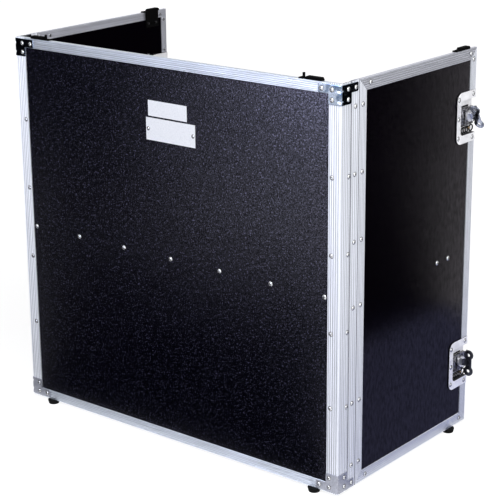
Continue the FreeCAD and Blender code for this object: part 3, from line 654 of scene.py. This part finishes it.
# Painted shade: a dark ring round each plate rivet.
PLATE_SHADE_RING_PROFILE = (
    (0.0030, -0.0003), (0.0045, -0.0003), (0.0045, 0.0002), (0.0030, 0.0002), (0.0030, -0.0003),
)

label_white = grained(
    "blank_label_film", per_metre=260, colours=LABEL_WHITES, roughness=(0.26, 0.36), metallic=0.0
)
dress(label_white, "label_plates")

large_low, large_high = max(separate_solids("label_plates"), key=lambda box: box[1].x - box[0].x)
plate_rivet_places = [
    (Vector((across, large_low.y, (large_low.z + large_high.z) / 2)), Vector((0, -1, 0)))
    for across in (large_low.x + PLATE_RIVET_INSET, large_high.x - PLATE_RIVET_INSET)
]
plate_heads = turned_on(plate_rivet_places, PLATE_RIVET_PROFILE, TURNED_SIDES)
add_piece("plate_rivet_heads", plate_heads, rivet_aluminium, "front")
plate_shade_rings = turned_on(plate_rivet_places, PLATE_SHADE_RING_PROFILE, TURNED_SIDES)
add_piece("plate_rivet_shade_rings", plate_shade_rings, stem_steel_and_shade, "front")

# Latch and keeper dishes: recessed plates let into the rear edges of the wings.
# Pressed steel, bright zinc plated, with painted shade on the steep walls of the recess, with rounded
# rims, riveted through the edging.
DISH_WHITES = ((0.90, 0.90, 0.93, 1), (0.98, 0.98, 1.0, 1))
DISH_WALL_SHADE = (0.05, 0.05, 0.055, 1)
DISH_WALL_FACING = 0.5
DISH_EDGE = 0.0005


# Painted shade: faces that turn away from the rear edge, the walls of the recess, are darkened.
def shaded_steep_walls(finish):
    facing = parts_of(finish, "Normal")
    sideways = lay(finish, "Math", operation="ABSOLUTE")
    wire(finish, facing["X"], sideways.inputs[0])
    return calculate(finish, "LESS_THAN", sideways.outputs["Value"], DISH_WALL_FACING)


dish_zinc = grained(
    "bright_zinc_dish", per_metre=90, colours=DISH_WHITES, roughness=(0.6, 0.72),
    darker=[(shaded_steep_walls, DISH_WALL_SHADE)],
)
dish_nodes = [f"{level}_{kind}_dish" for level in ("upper", "lower") for kind in ("latch", "keeper")]
dress(dish_zinc, *dish_nodes)
soften(DISH_EDGE, *dish_nodes)

# Latch works: base plate, turning rotor, sliding hook and folding handle in each latch dish.
# Stamped steel, nickel plated, the base and hook darkened as painted shade, and cast handles, the upper
# one chromed, the lower one dark; a wire spring with its eye, a brass bush and dark plates of painted
# shade for slots lie on the dish floor.
ROTOR_WHITES = ((0.84, 0.85, 0.88, 1), (0.96, 0.96, 0.98, 1))
# Painted shade: the base greys are dark for the shade inside the dish.
BASE_SHADE_GREYS = ((0.04, 0.04, 0.045, 1), (0.42, 0.42, 0.45, 1))
SPRING_AND_SLOT_BLACKS = ((0.006, 0.006, 0.007, 1), (0.03, 0.03, 0.031, 1))
BUSH_BROWNS = ((0.16, 0.11, 0.06, 1), (0.34, 0.24, 0.13, 1))
HANDLE_GREYS = ((0.34, 0.37, 0.46, 1), (0.52, 0.55, 0.64, 1))
# The lower handle is coloured much darker than the upper one.
DARK_HANDLE_GREYS = ((0.055, 0.057, 0.07, 1), (0.085, 0.088, 0.105, 1))
STAMPED_EDGE = 0.0004
HANDLE_EDGE = 0.0009
HANDLE_EDGE_SEGMENTS = 3
DISH_DEPTH = 0.0098
WIRE_RADIUS = 0.0012
WIRE_SIDES = 10
WIRE_CLEARANCE = 0.0002
COIL_HALF_DEPTH = 0.0042
COIL_HALF_HEIGHT = 0.0064
COIL_TURNS = 3
COIL_STEPS = 28
COIL_START = 0.0500
COIL_END = 0.0235
COIL_LEVEL = -0.0300
EYE_RADIUS = 0.0017
EYE_SIDES = 12
EYE_MIDDLE = (0.0100, -0.0292)
EYE_HALF = (0.0078, 0.0070)
EYE_LEAD = (0.0205, -0.0258)
EYE_START = math.radians(150)
EYE_SWEEP = math.radians(-340)
EYE_STEPS = 28
# Painted shade: each slot is a thin dark plate on the dish floor, for the dark behind a punched slot.
# Each slot is its two ends ahead of the rear edge, then its bottom and top from mid height.
SLOT_SHADES = (
    (0.014, 0.044, 0.0206, 0.0246),
    (0.014, 0.044, -0.0236, -0.0208),
    (0.014, 0.052, -0.0394, -0.0366),
)
SLOT_SUNK = 0.0001
SLOT_THICKNESS = 0.0004
SLOT_END_STEPS = 8
BUSH_PLACE = (0.0205, -0.0275)
BUSH_PROFILE = ((0, -0.0002), (0.0026, -0.0002), (0.0026, 0.0085), (0.0021, 0.009), (0, 0.009))
BUSH_SIDES = 20

rotor_nickel = grained("rotor_nickel", per_metre=200, colours=ROTOR_WHITES, roughness=(0.34, 0.48))
shaded_base_steel = grained(
    "base_steel_painted_shade", per_metre=170, colours=BASE_SHADE_GREYS, roughness=(0.2, 0.4), tint_span=(0.38, 0.68)
)
spring_steel_and_slot_shade = grained("oiled_spring_steel_and_slot_shade", per_metre=700, colours=SPRING_AND_SLOT_BLACKS, roughness=(0.22, 0.42))
bush_brass = grained("bush_brass", per_metre=500, colours=BUSH_BROWNS, roughness=(0.22, 0.4))
handle_chrome = grained("handle_chrome", per_metre=140, colours=HANDLE_GREYS, roughness=(0.08, 0.2))
handle_dark = grained("dark_cast_handle", per_metre=140, colours=DARK_HANDLE_GREYS, roughness=(0.14, 0.3))


def close_rings(made, rings):
    count = len(rings[0])
    for before, after in zip(rings, rings[1:]):
        for k in range(count):
            nxt = (k + 1) % count
            made.faces.new((before[k], before[nxt], after[nxt], after[k]))
    made.faces.new(reversed(rings[0]))
    made.faces.new(rings[-1])


def round_wire(points, radius, sides):
    drawn = bmesh.new()
    side = Vector((1, 0, 0))
    rings = []
    for k, point in enumerate(points):
        ahead = (points[min(k + 1, len(points) - 1)] - points[max(k - 1, 0)]).normalized()
        side = (side - ahead * side.dot(ahead)).normalized()
        other = ahead.cross(side)
        rings.append([
            drawn.verts.new(point + radius * (math.cos(2 * math.pi * j / sides) * side
                                              + math.sin(2 * math.pi * j / sides) * other))
            for j in range(sides)
        ])
    close_rings(drawn, rings)
    bmesh.ops.recalc_face_normals(drawn, faces=drawn.faces)
    for face in drawn.faces:
        face.smooth = len(face.verts) == 4
    return drawn


def slot_shade_plates(floor_x, rear, height):
    cut = bmesh.new()
    for near, far, low, high in SLOT_SHADES:
        end = (high - low) / 2
        outline = []
        for middle, start in ((-near - end, -90), (-far + end, 90)):
            for k in range(SLOT_END_STEPS + 1):
                angle = math.radians(start + 180 * k / SLOT_END_STEPS)
                outline.append((rear + middle + end * math.cos(angle),
                                height + (low + high) / 2 + end * math.sin(angle)))
        under = floor_x - SLOT_SUNK
        close_rings(cut, [
            [cut.verts.new((x, y, z)) for y, z in outline] for x in (under, under + SLOT_THICKNESS)
        ])
    bmesh.ops.recalc_face_normals(cut, faces=cut.faces)
    return cut


def coil_path(middle_x, rear, height):
    steps = COIL_TURNS * COIL_STEPS
    path = []
    for k in range(steps + 1):
        angle = 2 * math.pi * k / COIL_STEPS
        path.append(Vector((
            middle_x + COIL_HALF_DEPTH * math.sin(angle),
            rear - COIL_START - (COIL_END - COIL_START) * k / steps,
            height + COIL_LEVEL + COIL_HALF_HEIGHT * math.cos(angle),
        )))
    return path


def eye_path(start, middle_x, rear, height):
    path = [start, Vector((middle_x, rear - EYE_LEAD[0], height + EYE_LEAD[1]))]
    for k in range(EYE_STEPS + 1):
        angle = EYE_START + EYE_SWEEP * k / EYE_STEPS
        path.append(Vector((
            middle_x,
            rear - EYE_MIDDLE[0] + EYE_HALF[0] * math.cos(angle),
            height + EYE_MIDDLE[1] + EYE_HALF[1] * math.sin(angle),
        )))
    return path


wing_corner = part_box("right_wing_rear_edge")[1]
floor_x = wing_corner.x - DISH_DEPTH
coil_x = floor_x + COIL_HALF_DEPTH + WIRE_RADIUS + WIRE_CLEARANCE
for level in ("upper", "lower"):
    dish_low, dish_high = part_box(f"{level}_latch_dish")
    height = (dish_low.z + dish_high.z) / 2
    coil = coil_path(coil_x, wing_corner.y, height)
    spring = round_wire(coil, WIRE_RADIUS, WIRE_SIDES)
    add_piece(f"{level}_latch_spring", spring, spring_steel_and_slot_shade, "right_wing")
    eye = round_wire(eye_path(coil[-1], coil_x, wing_corner.y, height), EYE_RADIUS, EYE_SIDES)
    add_piece(f"{level}_spring_eye", eye, spring_steel_and_slot_shade, "right_wing")
    # Painted shade: dark plates on the floor for the slots.
    slot_shade = slot_shade_plates(floor_x, wing_corner.y, height)
    add_piece(f"{level}_dish_slot_shade", slot_shade, spring_steel_and_slot_shade, "right_wing")
    bush_foot = Vector((floor_x, wing_corner.y - BUSH_PLACE[0], height + BUSH_PLACE[1]))
    bush = turned_on([(bush_foot, Vector((1, 0, 0)))], BUSH_PROFILE, BUSH_SIDES)
    add_piece(f"{level}_spring_bush", bush, bush_brass, "right_wing")
    dress(rotor_nickel, f"{level}_latch_rotor")
    dress(shaded_base_steel, f"{level}_latch_base", f"{level}_latch_hook")
    soften(STAMPED_EDGE, *(f"{level}_latch_{piece}" for piece in ("base", "rotor", "hook")))
dress(handle_chrome, "upper_latch_handle")
dress(handle_dark, "lower_latch_handle")
soften(HANDLE_EDGE, "upper_latch_handle", "lower_latch_handle", segments=HANDLE_EDGE_SEGMENTS)

# Screws: bolts of the shelf supports, screws of the clips and feet, and the handle pins.
# Zinc-plated steel, blackened at the clips; the bolts show a cross recess in their low domed heads, laid
# on as a dark cross of painted shade.
SCREW_GREYS = ((0.45, 0.46, 0.48, 1), (0.74, 0.75, 0.77, 1))
CLIP_SCREW_LEVEL = 0.82
CLIP_SCREW_BLACK = (0.012, 0.012, 0.013, 1)
BOLT_HEAD = 0.0106
BOLT_DOME = 0.00705
CROSS_REACH = 0.0032
CROSS_HALF = 0.0011
CROSS_TAPER = 0.35
CROSS_PROUD = 0.00006
CROSS_SUNK = 0.0012
CROSS_STAGGER = 0.00001
CROSS_STEPS = 6


def at_the_clips(finish):
    return calculate(finish, "GREATER_THAN", parts_of(finish, "Object")["Z"], CLIP_SCREW_LEVEL)


# Painted shade: a dark cross set on each dome stands for the shade in the recess.
def lay_cross_shade(cross_shade, crown, outward):
    spin = outward.to_track_quat("Z", "Y").to_matrix()
    for upright in (False, True):
        rings = []
        for step in range(-CROSS_STEPS, CROSS_STEPS + 1):
            reach = CROSS_REACH * step / CROSS_STEPS
            half = CROSS_HALF * (1 - CROSS_TAPER * abs(step) / CROSS_STEPS)
            above = CROSS_PROUD - BOLT_DOME + math.sqrt(BOLT_DOME**2 - reach**2)
            ring = []
            for side, height in ((-half, above), (half, above), (half, -CROSS_SUNK), (-half, -CROSS_SUNK)):
                spot = Vector((reach, side, height))
                if upright:
                    spot = Vector((-side, reach, height - CROSS_STAGGER))
                ring.append(cross_shade.verts.new(crown + spin @ spot))
            rings.append(ring)
        close_rings(cross_shade, rings)


screw_zinc = grained(
    "screw_zinc", per_metre=300, colours=SCREW_GREYS, roughness=(0.18, 0.34),
    darker=[(at_the_clips, CLIP_SCREW_BLACK)],
)
dress(screw_zinc, "upper_handle_pin", "lower_handle_pin")
for body in FASTENED_BODIES:
    dress(screw_zinc, f"{body}_screws")
    cross_shade = bmesh.new()
    for crown, outward in crowns(f"{body}_screws", BOLT_HEAD):
        lay_cross_shade(cross_shade, crown, outward)
    bmesh.ops.recalc_face_normals(cross_shade, faces=cross_shade.faces)
    add_piece(f"{body}_bolt_cross_shade", cross_shade, stem_steel_and_shade, body)

# Studio: a pale floor that runs into a white background, three soft lamps and the camera.
# Dark and grey cards stand and lie round the booth; they show only in shiny faces, like the
# dark parts of a room.
WHITE = (1, 1, 1, 1)
BACKDROP_STRENGTH = (0.15, 1.0)
BACKDROP_SPAN = (0.0, 1.0)
FLOOR_HALF = 14.0
FLOOR_CORNERS = (
    (-FLOOR_HALF, -FLOOR_HALF, 0), (FLOOR_HALF, -FLOOR_HALF, 0),
    (FLOOR_HALF, FLOOR_HALF, 0), (-FLOOR_HALF, FLOOR_HALF, 0),
)
FLOOR_GREY = (0.6, 0.6, 0.6, 1)
FLOOR_SEEN_GREY = (0.35, 0.35, 0.35, 1)
FLOOR_GLOW = (0.86, 1.0)
FLOOR_GLOW_SPAN = (0.9, 2.6)
CARD_BLACK = (0.004, 0.004, 0.005, 1)
CEILING_GREY = (0.3, 0.3, 0.31, 1)
FLOOR_CARD_BLUE = (0.34, 0.37, 0.62, 1)
SENSOR_WIDTH = 36.0
FOCAL_PIXELS = 1598.787
PICTURE_PIXELS = 500
CAMERA_SIGHT = 60
CAMERA_PLACE = (2.28931504, -2.82406462, 1.55832289)
CAMERA_AZIMUTH = math.radians(38.90565)
CAMERA_ELEVATION = math.radians(17.47805)
CAMERA_ROLL = math.radians(-0.467)


def seen_directly(holder):
    path = lay(holder, "LightPath")
    seen = path.outputs["Is Camera Ray"]
    for ray in ("Is Glossy Ray", "Is Transmission Ray"):
        seen = calculate(holder, "MAXIMUM", seen, path.outputs[ray])
    return seen


def flat_sheet(name, corners, finish):
    made = bmesh.new()
    made.faces.new([made.verts.new(corner) for corner in corners])
    mesh = bpy.data.meshes.new(name)
    made.to_mesh(mesh)
    made.free()
    sheet = bpy.data.objects.new(name, mesh)
    bpy.context.scene.collection.objects.link(sheet)
    sheet.data.materials.append(finish)
    return sheet


def bare_finish(name):
    finish = bpy.data.materials.new(name)
    finish.use_nodes = True
    finish.node_tree.nodes.remove(finish.node_tree.nodes["Principled BSDF"])
    return finish, finish.node_tree.nodes["Material Output"].inputs["Surface"]


def soft_lamp(name, place, aim, size, watts, colour=NEUTRAL):
    lamp = bpy.data.lights.new(name, "AREA")
    lamp.shape = "RECTANGLE"
    lamp.size, lamp.size_y = size
    lamp.energy = watts
    lamp.color = colour
    holder = bpy.data.objects.new(name, lamp)
    bpy.context.scene.collection.objects.link(holder)
    holder.location = place
    holder.rotation_mode = "QUATERNION"
    holder.rotation_quaternion = (Vector(aim) - Vector(place)).to_track_quat("-Z", "Y")
    holder.visible_camera = False


def reflected_card(name, colour, corners):
    finish, surface = bare_finish(name)
    plain = lay(finish, "Emission", {"Color": colour, "Strength": 1.0})
    wire(finish, plain.outputs["Emission"], surface)
    card = flat_sheet(name, corners, finish)
    card.visible_camera = False
    card.visible_diffuse = False
    card.visible_shadow = False
    card.visible_transmission = False


world = bpy.data.worlds.new("studio")
bpy.context.scene.world = world
world.use_nodes = True
backdrop = world.node_tree.nodes["Background"]
backdrop.inputs["Color"].default_value = WHITE
vary(world, seen_directly(world), backdrop.inputs["Strength"], BACKDROP_STRENGTH, BACKDROP_SPAN)

floor_white, surface = bare_finish("floor_white")
matt = lay(floor_white, "BsdfDiffuse", {"Color": FLOOR_GREY})
pale = lay(floor_white, "BsdfDiffuse", {"Color": FLOOR_SEEN_GREY})
glow = lay(floor_white, "Emission", {"Color": WHITE})
place = lay(floor_white, "TexCoord")
far = lay(floor_white, "VectorMath", operation="LENGTH")
wire(floor_white, place.outputs["Object"], far.inputs[0])
vary(floor_white, far.outputs["Value"], glow.inputs["Strength"], FLOOR_GLOW, FLOOR_GLOW_SPAN)
both = lay(floor_white, "AddShader")
wire(floor_white, pale.outputs["BSDF"], both.inputs[0])
wire(floor_white, glow.outputs["Emission"], both.inputs[1])
pick = lay(floor_white, "MixShader")
wire(floor_white, seen_directly(floor_white), pick.inputs["Fac"])
wire(floor_white, matt.outputs["BSDF"], pick.inputs[1])
wire(floor_white, both.outputs["Shader"], pick.inputs[2])
wire(floor_white, pick.outputs["Shader"], surface)
floor = flat_sheet("floor", FLOOR_CORNERS, floor_white)

soft_lamp("overhead_lamp", place=(0.9, -1.2, 2.3), aim=(0.2, -0.1, 0.6), size=(1.6, 1.4), watts=42)
soft_lamp(
    "front_lamp", place=(-0.42, -1.95, 0.88), aim=(0.35, -0.26, 0.8), size=(0.54, 0.62), watts=15,
    colour=(0.76, 0.80, 1.0),
)
soft_lamp("right_lamp", place=(2.6, -0.6, 1.7), aim=(0.3, 0, 0.5), size=(1.2, 1.6), watts=26)

reflected_card("front_left_card", CARD_BLACK, (
    (-3.6, -1.2, 0), (-1.15, -1.8, 0), (-1.15, -1.8, 1.8), (-3.6, -1.2, 1.8),
))
reflected_card("front_floor_card", CARD_BLACK, (
    (-2.6, -1.75, 0.003), (-0.25, -1.5, 0.003), (0.40, -0.30, 0.003), (-0.50, -0.30, 0.003),
))
reflected_card("right_card", CARD_BLACK, (
    (1.9, 1.15, 0), (1.9, 2.5, 0), (1.9, 2.5, 1.6), (1.9, 1.15, 1.6),
))
reflected_card("right_floor_card", CARD_BLACK, (
    (0.95, 0.45, 0.003), (1.9, 1.15, 0.003), (1.9, 2.45, 0.003), (0.95, 0.95, 0.003),
))
reflected_card("ceiling_card", CEILING_GREY, (
    (-1.8, -1.8, 3.0), (1.8, -1.8, 3.0), (1.8, 1.8, 3.0), (-1.8, 1.8, 3.0),
))
reflected_card("rear_card", CARD_BLACK, (
    (0.44, 0.35, 0.2), (0.44, 1.6, 0.2), (0.44, 1.6, 1.2), (0.44, 0.35, 1.2),
))
reflected_card("right_grey_card", FLOOR_CARD_BLUE, (
    (0.480, -0.2, 0.002), (0.95, -0.2, 0.002), (0.95, 1.0, 0.002), (0.480, 0.6, 0.002),
))

camera_data = bpy.data.cameras.new("camera")
camera_data.sensor_width = SENSOR_WIDTH
camera_data.lens = SENSOR_WIDTH * FOCAL_PIXELS / PICTURE_PIXELS
camera_data.clip_end = CAMERA_SIGHT
camera = bpy.data.objects.new("camera", camera_data)
bpy.context.scene.collection.objects.link(camera)
back = Vector((
    math.sin(CAMERA_AZIMUTH) * math.cos(CAMERA_ELEVATION),
    -math.cos(CAMERA_AZIMUTH) * math.cos(CAMERA_ELEVATION),
    math.sin(CAMERA_ELEVATION),
))
level_right = Vector((math.cos(CAMERA_AZIMUTH), math.sin(CAMERA_AZIMUTH), 0))
level_up = back.cross(level_right)
right = math.cos(CAMERA_ROLL) * level_right + math.sin(CAMERA_ROLL) * level_up
up = -math.sin(CAMERA_ROLL) * level_right + math.cos(CAMERA_ROLL) * level_up
turn = Matrix((right, up, back)).transposed().to_4x4()
camera.matrix_world = Matrix.Translation(CAMERA_PLACE) @ turn
bpy.context.scene.camera = camera
bpy.context.scene.view_settings.view_transform = "Standard"
